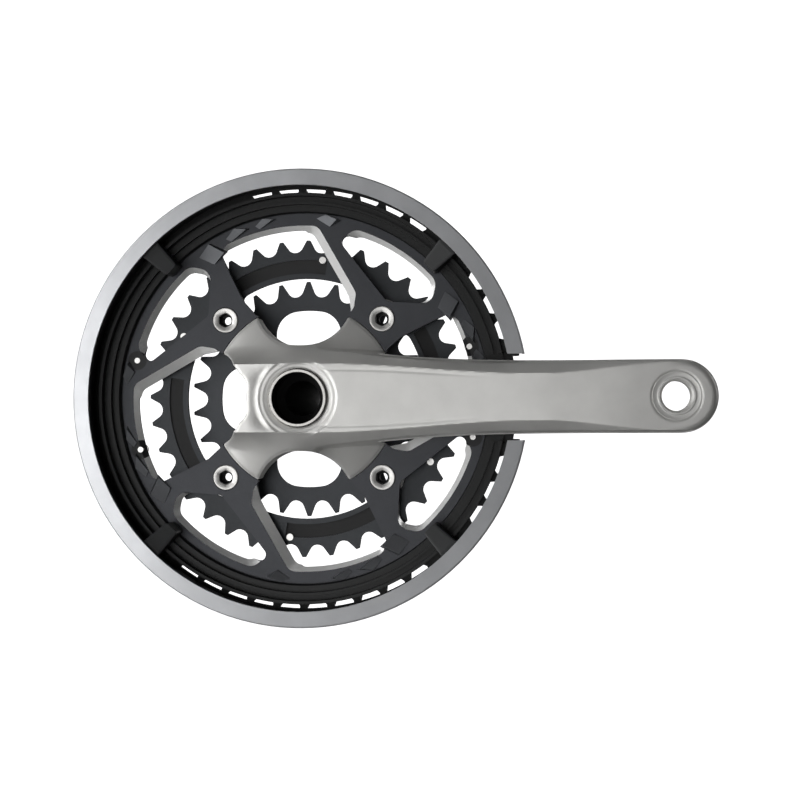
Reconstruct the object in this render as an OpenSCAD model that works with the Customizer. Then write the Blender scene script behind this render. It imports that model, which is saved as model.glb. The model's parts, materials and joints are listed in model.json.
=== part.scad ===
// Drive side of a triple bicycle crankset with a hollow axle, a chain guard and
// the bottom bracket that it turns in.
// The origin is the middle of the bottom bracket shell, on the axle's axis. The axle lies
// along Y with the drive side at -Y, the crank arm points along +X, and +Z is up.

/* [Crank arm] */
// Distance from the axle to the pedal hole
crank_length = 170; // [160:2.5:180]
// Half height of the arm over most of its length
arm_half_height = 16.4; // [15.4:0.2:17.4]
// Outer face of the pedal boss, measured from the middle of the shell
pedal_face = 86.5; // [85:0.5:89]
// Outer face of the hub, measured from the middle of the shell
hub_face = 79.5; // [78:0.5:81]
// Bore for the pedal thread
pedal_bore = 13.3; // [12.7:0.1:14.2]

/* [Chainrings] */
// Teeth on the outer chainring
outer_teeth = 48; // [46:1:48]
// Teeth on the middle chainring
middle_teeth = 36; // [34:1:36]
// Teeth on the inner chainring
inner_teeth = 26; // [24:2:26]
// Distance from the shell's middle to the middle chainring
chain_line = 50; // [49:0.5:51]
// Distance between neighbouring chainrings
ring_spacing = 8.5; // [8.2:0.1:8.8]
// Bolt circle of the outer and middle chainrings
outer_bolt_circle = 104; // [103:0.5:105]
// Bolt circle of the inner chainring
inner_bolt_circle = 64; // [63:0.5:65]

/* [Chain guard] */
// Outer radius of the guard's band
guard_outer_r = 104; // [103.5:0.5:106]
// Height of the guard's rim above the outer chainring's face
guard_height = 19.4; // [17:0.2:20]
// Half width of the gap in the band where the arm passes
band_gap = 19.5; // [19:0.5:22]

/* [Axle and bottom bracket] */
// Outer diameter of the axle in its bearings
axle_d = 24; // [23.9:0.05:24.1]
// Width of the bottom bracket shell that the cups screw into
shell_width = 68; // [67:0.5:68]
// Outer diameter of the cups' thread
cup_thread_d = 34.8; // [34.4:0.1:35]
// Outer diameter of the cups' flange
cup_flange_d = 44; // [43:0.5:45]

/* [Hidden] */

// Round parts are drawn finely enough to look smooth.
$fn = 96;
// Children of a hull are drawn more coarsely.
hull_fn = 32;
// Overlap that makes joined shapes one solid.
eps = 0.05;
// Play between a moving surface and its neighbour.
play = 0.03;

// Chain geometry
chain_pitch = 12.7;
roller_seat_r = 4.0;
outer_tooth_height = 5.6;
middle_tooth_height = 5.6;
inner_tooth_height = 7;
root_depth = 3.9;
tooth_thickness = 2.2;
outer_ring_z = chain_line + ring_spacing;
inner_ring_z = chain_line - ring_spacing;
middle_front = chain_line + tooth_thickness / 2;
middle_back = chain_line - tooth_thickness / 2;
inner_front = inner_ring_z + tooth_thickness / 2;
inner_back = inner_ring_z - tooth_thickness / 2;
outer_bolt_r = outer_bolt_circle / 2;
inner_bolt_r = inner_bolt_circle / 2;

// The outer ring's plate: its tabs lie on the spider's tabs.
spider_tab_t = 4.4;
plate_back = middle_front + spider_tab_t;
plate_t = 4.3;
plate_face = plate_back + plate_t;
plate_inner_r = 43.8;
plate_outer_r = 88;
plate_window_r = 78.6;

// Spider
spider_r = 43.5;
spider_gap_r = 23;
spider_gap_centre = 47;
spider_back = 50.3;
spider_tab_r = 9.5;
inner_boss_r = 7;

// Hub and axle
hub_r = 19;
axle_r = axle_d / 2;
axle_bore_r = 8.2;
axle_head_r = 13.3;
axle_head_bore_r = 11.7;
axle_head_from = 65;
axle_face = hub_face + 0.6;
axle_left_end = -68;
left_seat_from = -49;
left_seat_relief = 0.8;
spline_grooves = 20;
spline_groove_w = 0.8;
spline_groove_depth = 0.6;
spline_from = -66.4;
spline_to = -58.8;
cap_thread_r = 10;
cap_thread_depth = 10;

// Chainring bolts
bolt_head_r = 5.85;
bolt_head_t = 1.5;
bolt_shank_r = 3.95;
bolt_face = plate_face + 0.5;
sleeve_r = 5;
sleeve_flange_r = 6.2;
bolt_hex_r = 2.9;
bolt_hex_depth = 3.2;
bolt_bore_r = 2.4;
bolt_edge = 0.4;
bolt_head_gap = 0.25;
inner_bolt_hole_r = 4;

// Guard
guard_back = plate_face;
guard_rim = plate_face + guard_height;
band_width = 6.9;
band_drop = 1.9;
guard_inner_r = 86.2;
post_angles = [45, 135, 225, 315];

// Bottom bracket
bearing_bore_r = 12.5;
bearing_outer_r = 18.5;
bearing_width = 7;
ball_r = 1.75;
ball_track_r = 15.5;
ball_count = 17;
spacer_t = 2.5;
right_cup_face = shell_width / 2 + 2 * spacer_t;
left_cup_face = shell_width / 2 + spacer_t;
cup_depth = 10.5;
cup_edge = 1;
cup_bore_r = 14.6;
cup_thread_l = 13;
cup_relief_r = 17;
cup_notches = 16;
cup_notch_r = 1.9;
spacer_outer_r = 21;

// ---- Helpers -------------------------------------------------------------------------

// Turns a shape drawn with its z axis pointing out of the drive side into the part's frame.
module drive_side() {
  rotate([90, 0, 0]) children();
}

// The same for the left side: z then points out of the non-drive side.
module left_side() {
  rotate([-90, 0, 0]) children();
}

// A ring with a rectangular section.
module ring(inner, outer, from, to) {
  translate([0, 0, from])
    difference() {
      cylinder(r = outer, h = to - from);
      translate([0, 0, -1]) cylinder(r = inner, h = to - from + 2);
    }
}

// Copies its children at the four spider arms.
module at_spider_arms(radius) {
  for (angle = post_angles)
    rotate(angle) translate([radius, 0, 0]) children();
}

function pitch_r(teeth) = chain_pitch / (2 * sin(180 / teeth));
function root_r(teeth) = pitch_r(teeth) - root_depth;
function polar(r, a) = [r * cos(a), r * sin(a)];
function arc(centre, r, from, to, steps) =
  [for (i = [0:steps]) centre + polar(r, from + (to - from) * i / steps)];

// Outline of a chainring: a round roller seat between each two teeth, and flanks that
// lean back to a narrow tip.
seat_half_angle = 64;
tip_half_width = 0.8;
function tooth_space(teeth, tip, turn) =
  let (
    seat = arc(polar(pitch_r(teeth), turn), roller_seat_r, turn + 180 + seat_half_angle,
               turn + 180 - seat_half_angle, 8),
    tip_turn = 180 / teeth - asin(tip_half_width / tip)
  )
  concat([polar(tip, turn - tip_turn)], seat, [polar(tip, turn + tip_turn)]);
function ring_outline(teeth, tooth_height, first_tip) =
  [for (i = [0:teeth - 1])
    each tooth_space(teeth, root_r(teeth) + tooth_height, first_tip + (i + 0.5) * 360 / teeth)];

// ---- Crank arm -----------------------------------------------------------------------

arm_end_r = arm_half_height;
arm_end_centre = crank_length + 2.1;
pedal_boss_r = 10;
arm_root_x = 8;

// Smooth step from 0 to 1.
function ease(t) = let (u = min(max(t, 0), 1)) u * u * (3 - 2 * u);
function blend(from, to, t) = from + (to - from) * ease(t);
// Half height of the arm's outline along its length.
function arm_outline(x) =
  x > arm_end_centre
    ? sqrt(max(arm_end_r * arm_end_r - (x - arm_end_centre) * (x - arm_end_centre), 0.3))
    : blend(24, arm_half_height, pow(max(x, 0) / 95, 0.55));
// Half height of the flat front face, narrow in the middle of the arm.
function arm_face(x) =
  min(x < 105 ? blend(15.2, 10.6, (x - 10) / 95) : blend(10.6, 15.6, (x - 105) / 55),
      arm_outline(x) * 0.94);
// Height of the front face, of the foot of its bevel, and of the back.
function arm_front(x) = blend(hub_face - 0.6, pedal_face - 0.4, x / (crank_length - 12));
function arm_bevel(x) = arm_front(x) - (x < 105 ? blend(9, 7, x / 105) : blend(7, 2, (x - 105) / 50));
function arm_back(x) =
  x < 60 ? blend(spider_back + 6, 65.6, x / 60) : blend(65.6, pedal_face - 14, (x - 60) / 90);
function arm_section(x) =
  let (h = arm_outline(x), f = arm_face(x), top = arm_front(x), foot = arm_bevel(x),
       back = arm_back(x), soft = min(3.5, h * 0.4))
  [[-f, top], [f, top], [h * 0.97, foot + 1], [h, foot - 1], [h, back + soft],
   [h - soft * 0.3, back + soft * 0.3], [h - soft, back], [soft - h, back],
   [soft * 0.3 - h, back + soft * 0.3], [-h, back + soft], [-h, foot - 1],
   [-h * 0.97, foot + 1]];

arm_stations = concat([for (x = [0:6:162]) arm_root_x + x],
                      [for (t = [0:10:80]) arm_end_centre + arm_end_r * sin(t)],
                      [arm_end_centre + arm_end_r * sin(86)]);

module arm_beam() {
  sides = len(arm_section(0));
  count = len(arm_stations);
  points = [for (x = arm_stations) for (p = arm_section(x)) [x, p[0], p[1]]];
  walls = [for (i = [0:count - 2]) for (j = [0:sides - 1])
    each let (a = i * sides + j, b = i * sides + (j + 1) % sides)
      [[a, b, b + sides], [a, b + sides, a + sides]]];
  caps = [[for (j = [sides - 1:-1:0]) j], [for (j = [0:sides - 1]) (count - 1) * sides + j]];
  polyhedron(points = points, faces = concat(walls, caps), convexity = 6);
}

// Flat outline of the spider between its arms.
module spider_outline() {
  difference() {
    circle(r = spider_r);
    for (angle = [0:90:270])
      rotate(angle) translate([spider_gap_centre, 0]) circle(r = spider_gap_r);
  }
}

// One spider arm's front, falling from the hub to the chainring's plate.
module spider_slope(angle, hub_height) {
  intersection() {
    hull() {
      translate([0, 0, plate_back])
        cylinder(r = hub_r + 2, h = hub_height - plate_back, $fn = hull_fn);
      rotate(angle) translate([30, -11.5, plate_back]) cube([14, 23, plate_t]);
    }
    translate([0, 0, spider_back]) linear_extrude(40) spider_outline();
  }
}

module crank_arm() {
  color([0.78, 0.78, 0.76])
    drive_side()
      difference() {
        union() {
          arm_beam();
          translate([0, 0, spider_back]) cylinder(r = hub_r, h = hub_face - spider_back);
          translate([0, 0, spider_back])
            linear_extrude(plate_face - spider_back) spider_outline();
          at_spider_arms(outer_bolt_r) translate([0, 0, middle_front]) {
            cylinder(r = spider_tab_r, h = spider_tab_t);
            translate([-12, -spider_tab_r, 0]) cube([12, 2 * spider_tab_r, spider_tab_t]);
          }
          at_spider_arms(inner_bolt_r)
            translate([0, 0, inner_front]) cylinder(r = inner_boss_r, h = spider_back - inner_front + 1);
          spider_slope(135, hub_face - 4);
          spider_slope(225, hub_face - 4);
          spider_slope(45, hub_face - 13);
          spider_slope(315, hub_face - 13);
          translate([crank_length, 0, pedal_face - 2]) cylinder(r = pedal_boss_r, h = 2);
          translate([crank_length, 0, pedal_face - 14.5]) cylinder(r = pedal_boss_r + 1, h = 2);
        }
        translate([0, 0, spider_back - 1]) cylinder(r = axle_r, h = 40);
        translate([0, 0, axle_head_from]) cylinder(r = axle_head_r, h = 30);
        translate([0, 0, hub_face - 3]) cylinder(r = axle_head_r + 0.35, h = 4);
        translate([crank_length, 0, pedal_face - 20]) cylinder(d = pedal_bore, h = 30);
        translate([crank_length, 0, pedal_face - 1]) cylinder(r1 = pedal_bore / 2, r2 = 7.7, h = 1.05);
        at_spider_arms(outer_bolt_r)
          translate([0, 0, middle_front - 1]) cylinder(r = sleeve_r, h = 8);
        at_spider_arms(inner_bolt_r)
          translate([0, 0, inner_front - 1]) cylinder(r = inner_bolt_hole_r, h = 9);
      }
}

// ---- Axle ----------------------------------------------------------------------------

module axle() {
  color([0.62, 0.62, 0.6])
    drive_side()
      difference() {
        rotate_extrude()
          polygon([
            [cap_thread_r, axle_left_end], [axle_r - 1, axle_left_end],
            [axle_r, axle_left_end + 1], [axle_r, left_seat_from],
            [axle_r - 0.4, left_seat_from], [axle_r - 0.4, left_seat_from + left_seat_relief],
            [axle_r, left_seat_from + left_seat_relief], [axle_r, axle_head_from],
            [axle_head_r, axle_head_from], [axle_head_r, axle_face - 0.4],
            [axle_head_r - 0.4, axle_face], [axle_head_bore_r, axle_face],
            [axle_head_bore_r, axle_head_from + 1], [axle_bore_r, axle_head_from - 2],
            [axle_bore_r, axle_left_end + cap_thread_depth],
            [cap_thread_r, axle_left_end + cap_thread_depth]
          ]);
        for (i = [0:spline_grooves - 1])
          rotate(i * 360 / spline_grooves)
            translate([axle_r - spline_groove_depth, -spline_groove_w / 2, spline_from])
              cube([2, spline_groove_w, spline_to - spline_from]);
      }
}

// ---- Outer chainring -----------------------------------------------------------------

// Every quarter of the plate has a wide window between two tabs and a narrow one outside
// a bolt. Both are drawn for the quarter at the top right.
wide_corner = [-28, 45];
wide_shrink = 0.917;
narrow_corner = [36.6, 47.5];
narrow_shrink = 0.905;

// Wide window at the plate's front face, with the room that its bevel takes.
module wide_window_front() {
  offset(r = 5) offset(delta = -5)
    polygon(concat([[-22.5, 39], wide_corner, [-38.8, 67]],
                   arc([0, 0], 80.6, 117, 85, 14), [[24.8, 49], [23.2, 39]]));
}

// Wide window where it goes right through.
module wide_window_through() {
  offset(r = 2.5) offset(delta = -2.5)
    polygon(concat([[-22.5, 39], wide_corner, [-38.8, 67]],
                   arc([0, 0], plate_window_r, 119, 89, 14),
                   [[3, 74], [20.9, 47.7], [22.6, 39], [0, 30]]));
}

module narrow_window_front() {
  offset(r = 6) offset(delta = -6)
    polygon(concat([[39, 44.8], [17.8, 71.8]], arc([0, 0], 82.3, 77, 41, 14), [[60, 43.4]]));
}

module narrow_window_through() {
  offset(r = 3) offset(delta = -3)
    polygon(concat([[39, 44.8], [16.6, 73.4]], arc([0, 0], plate_window_r, 77, 43.5, 14),
                   [[56.4, 44.2]]));
}

// Cuts a window whose front outline shrinks towards one corner with depth.
module bevel_cut(corner, shrink) {
  depth = plate_t;
  translate([corner.x, corner.y, plate_face + eps])
    mirror([0, 0, 1])
      linear_extrude(depth + eps, scale = shrink) translate(-corner) children();
}

module plate_windows() {
  for (quarter = [0:90:270])
    rotate(quarter) {
      bevel_cut(wide_corner, wide_shrink) wide_window_front();
      bevel_cut(narrow_corner, narrow_shrink) narrow_window_front();
      translate([0, 0, plate_back - 1])
        linear_extrude(plate_t + 2) {
          wide_window_through();
          narrow_window_through();
        }
    }
}

outer_pin_angles = [17, 167, 197, 347];
outer_pin_r = 80.8;
outer_pin_hole_r = 1.3;

module outer_chainring() {
  color([0.24, 0.24, 0.26])
    drive_side()
      difference() {
        union() {
          translate([0, 0, outer_ring_z - tooth_thickness / 2])
            linear_extrude(tooth_thickness) polygon(ring_outline(outer_teeth, outer_tooth_height, 0));
          translate([0, 0, plate_back]) cylinder(r = plate_outer_r, h = plate_t);
        }
        translate([0, 0, plate_back - 1]) cylinder(r = plate_inner_r, h = 10);
        plate_windows();
        at_spider_arms(outer_bolt_r) translate([0, 0, plate_back - 1]) {
          cylinder(r = sleeve_r, h = 10);
          translate([0, 0, bolt_face - bolt_head_t - plate_back + 1])
            cylinder(r = bolt_head_r + bolt_head_gap, h = 5);
        }
        for (angle = outer_pin_angles)
          rotate(angle) translate([outer_pin_r, 0, plate_back - 1])
            cylinder(r = outer_pin_hole_r, h = 10);
        at_spider_arms(post_r)
          translate([0, 0, plate_back - 1]) cylinder(r = guard_screw_r, h = 10);
        rotate(drop_pin_angle) translate([drop_pin_r, 0, plate_back - 1])
          cylinder(r = drop_pin_radius, h = 10);
      }
}

// ---- Middle and inner chainrings -----------------------------------------------------

middle_inner_r = 56.5;
middle_pin_angles = [83, 153, 263, 333];
middle_pin_r = 65.6;
middle_pin_hole_r = 1.6;
shift_groove_r = 59;
shift_groove_w = 6.4;
shift_groove_depth = 0.8;
shift_groove_from = 81;
shift_groove_angle = 40;

module middle_outline() {
  difference() {
    polygon(ring_outline(middle_teeth, middle_tooth_height, 9));
    offset(r = 4) offset(delta = -4)
      difference() {
        circle(r = middle_inner_r);
        for (angle = post_angles) rotate(angle) translate([spider_r + 0.3, -10]) square([30, 20]);
      }
  }
}

module middle_chainring() {
  color([0.25, 0.25, 0.26])
    drive_side()
      difference() {
        translate([0, 0, middle_back]) linear_extrude(tooth_thickness) middle_outline();
        at_spider_arms(outer_bolt_r)
          translate([0, 0, middle_back - 1]) cylinder(r = sleeve_r, h = 5);
        for (quarter = [0:90:270])
          rotate(quarter)
            translate([0, 0, middle_front - shift_groove_depth])
              rotate_extrude(angle = shift_groove_angle, start = shift_groove_from)
                translate([shift_groove_r, 0]) square([shift_groove_w, 2]);
        for (angle = middle_pin_angles)
          rotate(angle) translate([middle_pin_r, 0, middle_back - 1])
            cylinder(r = middle_pin_hole_r, h = 5);
      }
}

inner_window_half = 15.5;
inner_window_r = 42;
inner_centre_r = 25;
inner_window_corner_r = 11;

module inner_outline() {
  difference() {
    polygon(ring_outline(inner_teeth, inner_tooth_height, 90));
    offset(r = inner_window_corner_r) offset(delta = -inner_window_corner_r)
      union() {
        circle(r = inner_centre_r);
        intersection() {
          circle(r = inner_window_r);
          union() {
            square([100, 2 * inner_window_half], center = true);
            square([2 * inner_window_half, 100], center = true);
          }
        }
      }
  }
}

module inner_chainring() {
  color([0.22, 0.22, 0.23])
    drive_side()
      difference() {
        translate([0, 0, inner_back]) linear_extrude(tooth_thickness) inner_outline();
        at_spider_arms(inner_bolt_r)
          translate([0, 0, inner_back - 1]) cylinder(r = inner_bolt_hole_r + 0.1, h = 5);
      }
}

// ---- Fasteners and pins --------------------------------------------------------------

// Flat-headed bolt with a hexagon socket, and a bore through its shank if bore_r isn't 0.
module socket_bolt(head_r, head_t, length, bore_r = 0) {
  difference() {
    union() {
      cylinder(r = bolt_shank_r, h = length);
      translate([0, 0, length - head_t]) cylinder(r = head_r, h = head_t - bolt_edge);
      translate([0, 0, length - bolt_edge])
        cylinder(r1 = head_r, r2 = head_r - bolt_edge, h = bolt_edge);
    }
    translate([0, 0, length - bolt_hex_depth])
      cylinder(r = bolt_hex_r, h = bolt_hex_depth + 1, $fn = 6);
    if (bore_r > 0) translate([0, 0, -1]) cylinder(r = bore_r, h = length);
  }
}

module chainring_bolts() {
  color([0.8, 0.8, 0.78])
    drive_side()
      at_spider_arms(outer_bolt_r)
        translate([0, 0, middle_front])
          socket_bolt(bolt_head_r, bolt_head_t, bolt_face - middle_front, bolt_bore_r);
}

module chainring_sleeve_nuts() {
  color([0.7, 0.7, 0.68])
    drive_side()
      at_spider_arms(outer_bolt_r)
        difference() {
          union() {
            translate([0, 0, middle_back]) cylinder(r = sleeve_r, h = plate_back - middle_back + 2.5);
            translate([0, 0, middle_back - 1.4]) cylinder(r = sleeve_flange_r, h = 1.4);
          }
          translate([0, 0, middle_back - 2]) cylinder(r = bolt_shank_r + 0.05, h = 15);
        }
}

inner_bolt_end = inner_back + 8.2;
inner_bolt_head_r = 6.2;
inner_bolt_head_t = 1.6;

module inner_ring_bolts() {
  color([0.72, 0.72, 0.7])
    drive_side()
      at_spider_arms(inner_bolt_r)
        translate([0, 0, inner_bolt_end])
          mirror([0, 0, 1])
            socket_bolt(inner_bolt_head_r, inner_bolt_head_t,
                        inner_bolt_end - inner_back + inner_bolt_head_t);
}

outer_pin_head_r = 2.6;
outer_pin_head_t = 1.4;
middle_pin_head_r = 2.4;
middle_pin_head_t = 1.2;

// Riveted pin with a low head that catches the chain from the ring's back.
module outer_shift_pins() {
  color([0.75, 0.75, 0.74])
    drive_side()
      for (angle = outer_pin_angles)
        rotate(angle) translate([outer_pin_r, 0, 0]) {
          translate([0, 0, plate_back - outer_pin_head_t])
            cylinder(r = outer_pin_head_r, h = outer_pin_head_t);
          translate([0, 0, plate_back]) cylinder(r = outer_pin_hole_r, h = plate_t + 0.3);
        }
}

module middle_shift_pins() {
  color([0.75, 0.75, 0.74])
    drive_side()
      for (angle = middle_pin_angles)
        rotate(angle) translate([middle_pin_r, 0, 0]) {
          translate([0, 0, middle_back - middle_pin_head_t])
            cylinder(r = middle_pin_head_r, h = middle_pin_head_t);
          translate([0, 0, middle_back])
            cylinder(r = middle_pin_hole_r, h = tooth_thickness + 0.3);
        }
}

// Keeps a dropped chain from jamming between the arm and the outer chainring.
drop_pin_angle = 0;
drop_pin_r = 84;
drop_pin_radius = 1.9;
drop_pin_head_r = 2.8;
drop_pin_height = 3.8;

module chain_drop_pin() {
  color([0.7, 0.7, 0.68])
    drive_side()
      rotate(drop_pin_angle) translate([drop_pin_r, 0, 0]) {
        translate([0, 0, plate_back]) cylinder(r = drop_pin_radius, h = plate_t);
        translate([0, 0, plate_back - 0.8]) cylinder(r = drop_pin_head_r, h = 0.8);
        translate([0, 0, plate_face]) cylinder(r = drop_pin_head_r, h = drop_pin_height);
      }
}

// ---- Chain guard ---------------------------------------------------------------------

post_r = 86;
post_inner_r = post_r - 0.5;
post_outer_r = 97.3;
post_inner_half = 2;
post_outer_half = 3.2;
post_edge_r = 1.6;
guard_screw_r = 1.6;
guard_screw_head_r = 3;
guard_screw_head_t = 1.6;
guard_screw_hex_r = 1.2;
wall_inner_r = guard_outer_r - band_width;

wall_foot_r = 99.2;
floor_t = 1.6;
rib_r = 94.8;
rib_t = 1.4;
rib_height = 9;
inner_rib_r = 91;
inner_rib_t = 1.2;
inner_rib_height = 6;

// Floor of the bowl, stepped up towards the rib that runs inside the teeth's tips.
module guard_floor() {
  rotate_extrude()
    polygon([
      [guard_inner_r, guard_back], [wall_foot_r, guard_back],
      [wall_foot_r, guard_back + floor_t], [rib_r, guard_back + floor_t],
      [rib_r, guard_back + rib_height], [rib_r - rib_t, guard_back + rib_height],
      [rib_r - rib_t, guard_back + rib_height / 2], [inner_rib_r, guard_back + rib_height / 2],
      [inner_rib_r, guard_back + inner_rib_height],
      [inner_rib_r - inner_rib_t, guard_back + inner_rib_height],
      [inner_rib_r - inner_rib_t, guard_back + 2 * floor_t],
      [guard_inner_r + 0.6, guard_back + 2 * floor_t], [guard_inner_r, guard_back + floor_t]
    ]);
}

slot_inner_r = 95.1;
slot_w = 2.3;
slot_angle = 5.4;
slot_first = -123.75;
slot_last = 101.25;

// Slots in the floor over the gaps between the outer teeth, mostly on the arm's half of
// the bowl, with none behind the arm or a post.
module guard_slots() {
  for (angle = [slot_first:360 / outer_teeth:slot_last])
      if (abs(angle) > 15 && abs(abs(angle) - 45) > 6)
        translate([0, 0, guard_back - 1])
          rotate_extrude(angle = slot_angle, start = angle - slot_angle / 2)
            translate([slot_inner_r, 0]) square([slot_w, floor_t + 2]);
}

// Upright wall outside the teeth, which carries the band.
module guard_wall() {
  rotate_extrude()
    polygon([
      [wall_foot_r + 0.2, guard_back - 4], [wall_foot_r + 1.8, guard_back - 4], [guard_outer_r - 0.5, guard_rim - 8],
      [guard_outer_r - 0.5, guard_rim - band_drop - 1.6], [wall_inner_r + 0.1, guard_rim - 1.6],
      [wall_inner_r + 0.1, guard_rim - 3], [wall_inner_r + 1, guard_rim - 9]
    ]);
}

// Wedge-shaped post that ties the wall to the floor and takes a screw from behind.
module guard_post() {
  hull() {
    for (side = [-1, 1]) {
      translate([post_inner_r, side * post_inner_half, guard_back + 0.1])
        cylinder(r = post_edge_r, h = guard_height - 5.5, $fn = hull_fn);
      translate([post_outer_r, side * post_outer_half, guard_back + 0.1])
        cylinder(r = post_edge_r, h = guard_height - 3, $fn = hull_fn);
    }
  }
}

// Room for the crank arm: a slot along +X.
module arm_slot(half_width, from) {
  translate([60, -half_width, from]) cube([60, 2 * half_width, 90]);
}

module guard_carrier() {
  color([0.07, 0.075, 0.075])
    drive_side()
      difference() {
        union() {
          guard_floor();
          difference() {
            guard_wall();
            arm_slot(band_gap - 0.4, 0);
          }
          at_spider_arms(0) guard_post();
          for (angle = [-14, 14])
            rotate(angle) translate([93.5, -2, guard_back]) cube([7.5, 4, 4]);
        }
        guard_slots();
        arm_slot(band_gap + 0.5, guard_back + 4);
        at_spider_arms(post_r)
          translate([0, 0, guard_back - 1]) cylinder(r = guard_screw_r, h = 8);
        rotate(drop_pin_angle) translate([drop_pin_r, 0, guard_back - 1])
          cylinder(r = drop_pin_head_r + 0.3, h = 6);
      }
}

module guard_band() {
  color([0.78, 0.79, 0.8])
    drive_side()
      difference() {
        rotate_extrude()
          polygon([
            [wall_inner_r, guard_rim - 1.5], [wall_inner_r, guard_rim],
            [guard_outer_r, guard_rim - band_drop], [guard_outer_r + 0.8, guard_rim - band_drop - 1],
            [guard_outer_r + 0.8, guard_rim - 8], [guard_outer_r - 0.4, guard_rim - 8],
            [guard_outer_r - 0.4, guard_rim - band_drop - 1.5]
          ]);
        arm_slot(band_gap, 0);
      }
}

module guard_screws() {
  color([0.5, 0.5, 0.5])
    drive_side()
      at_spider_arms(post_r) {
        translate([0, 0, plate_back]) cylinder(r = guard_screw_r - 0.05, h = plate_t + 6);
        translate([0, 0, plate_back - guard_screw_head_t])
          difference() {
            cylinder(r = guard_screw_head_r, h = guard_screw_head_t);
            translate([0, 0, -0.1]) cylinder(r = guard_screw_hex_r, h = 1.1, $fn = 6);
          }
      }
}

// ---- Bottom bracket ------------------------------------------------------------------

// A cup, drawn with the back of its flange at the given distance from the shell's middle.
module cup(face) {
  seat = face + cup_depth - cup_edge - bearing_width;
  thread_from = shell_width / 2 - cup_thread_l;
  difference() {
    union() {
      translate([0, 0, face]) cylinder(d = cup_flange_d, h = cup_depth - cup_edge);
      translate([0, 0, face + cup_depth - cup_edge])
        cylinder(r1 = cup_flange_d / 2, r2 = cup_flange_d / 2 - cup_edge, h = cup_edge);
      translate([0, 0, thread_from]) cylinder(d = cup_thread_d, h = cup_thread_l);
      translate([0, 0, thread_from]) cylinder(r = cup_relief_r, h = face - thread_from + 1);
    }
    translate([0, 0, seat]) cylinder(r = bearing_outer_r, h = cup_depth);
    translate([0, 0, thread_from - 1]) cylinder(r = cup_bore_r, h = 40);
    for (i = [0:cup_notches - 1])
      rotate(i * 360 / cup_notches)
        translate([cup_flange_d / 2 + 0.4, 0, face + 2.5]) cylinder(r = cup_notch_r, h = cup_depth);
  }
}

module right_cup() {
  color([0.3, 0.3, 0.32]) drive_side() cup(right_cup_face);
}

module left_cup() {
  color([0.3, 0.3, 0.32]) left_side() cup(left_cup_face);
}

module right_spacers() {
  color([0.6, 0.6, 0.6])
    drive_side()
      for (i = [0:1])
        ring(cup_thread_d / 2 + 0.2, spacer_outer_r, shell_width / 2 + i * spacer_t,
             shell_width / 2 + (i + 1) * spacer_t - play);
}

module left_spacer() {
  color([0.6, 0.6, 0.6])
    left_side()
      ring(cup_thread_d / 2 + 0.2, spacer_outer_r, shell_width / 2, shell_width / 2 + spacer_t);
}

sleeve_inner_r = 13.1;
sleeve_outer_r = 14.35;
sleeve_end = 31;
o_ring_z = 27;
o_ring_r = 14.1;
o_ring_t = 0.45;
o_ring_groove = 0.7;

module inner_sleeve() {
  color([0.12, 0.12, 0.12])
    drive_side()
      difference() {
        ring(sleeve_inner_r, sleeve_outer_r, -sleeve_end, sleeve_end);
        for (z = [-o_ring_z, o_ring_z])
          ring(sleeve_outer_r - o_ring_groove, sleeve_outer_r + 1, z - 0.5, z + 0.5);
      }
}

module sleeve_o_rings() {
  color([0.05, 0.05, 0.05])
    drive_side()
      for (z = [-o_ring_z, o_ring_z])
        translate([0, 0, z]) rotate_extrude() translate([o_ring_r, 0]) circle(r = o_ring_t);
}

// Bearing pieces, drawn with the bearing's middle plane at z = 0.
outer_race_inner_r = 16.7;
inner_race_outer_r = 14.3;
cage_inner_r = 14.9;
cage_outer_r = 16.1;
cage_half_width = 2.6;

module outer_race() {
  rotate_extrude()
    difference() {
      translate([outer_race_inner_r, -bearing_width / 2])
        square([bearing_outer_r - outer_race_inner_r, bearing_width]);
      translate([ball_track_r, 0]) circle(r = ball_r + play);
    }
}

module inner_race() {
  rotate_extrude()
    difference() {
      translate([bearing_bore_r, -bearing_width / 2])
        square([inner_race_outer_r - bearing_bore_r, bearing_width]);
      translate([ball_track_r, 0]) circle(r = ball_r + play);
    }
}

module balls() {
  for (i = [0:ball_count - 1])
    rotate(i * 360 / ball_count) translate([ball_track_r, 0, 0]) sphere(r = ball_r);
}

module cage() {
  difference() {
    ring(cage_inner_r, cage_outer_r, -cage_half_width, cage_half_width);
    for (i = [0:ball_count - 1])
      rotate(i * 360 / ball_count) translate([ball_track_r - 4, 0, 0]) rotate([0, 90, 0])
        cylinder(r = ball_r + play, h = 8);
  }
}

function bearing_middle(face) = face + cup_depth - 1 - bearing_width / 2;

cover_lip_r = 17.3;
cover_lip_t = 1.3;
seal_lip_r = 17.6;
seal_inner_r = 14.9;

// Plastic cover that carries the inner race on the axle and hides the bearing.
module inner_cover(face) {
  lip_from = face + cup_depth - 0.5;
  ring(axle_r + play, bearing_bore_r, face + 2.5, lip_from);
  ring(axle_r + play, cover_lip_r, lip_from - eps, lip_from + cover_lip_t);
}

// Thin ring seal whose outer lip runs round the cover's edge.
module seal(face) {
  seal_from = face + cup_depth - 1;
  ring(seal_lip_r, bearing_outer_r, seal_from, seal_from + 0.9);
  ring(seal_inner_r, bearing_outer_r, seal_from, seal_from + 0.2);
}

module right_outer_race() {
  color("silver") drive_side() translate([0, 0, bearing_middle(right_cup_face)]) outer_race();
}

module left_outer_race() {
  color("silver") left_side() translate([0, 0, bearing_middle(left_cup_face)]) outer_race();
}

module right_inner_race() {
  color("silver") drive_side() translate([0, 0, bearing_middle(right_cup_face)]) inner_race();
}

module left_inner_race() {
  color("silver") left_side() translate([0, 0, bearing_middle(left_cup_face)]) inner_race();
}

module right_balls() {
  color("white") drive_side() translate([0, 0, bearing_middle(right_cup_face)]) balls();
}

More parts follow.
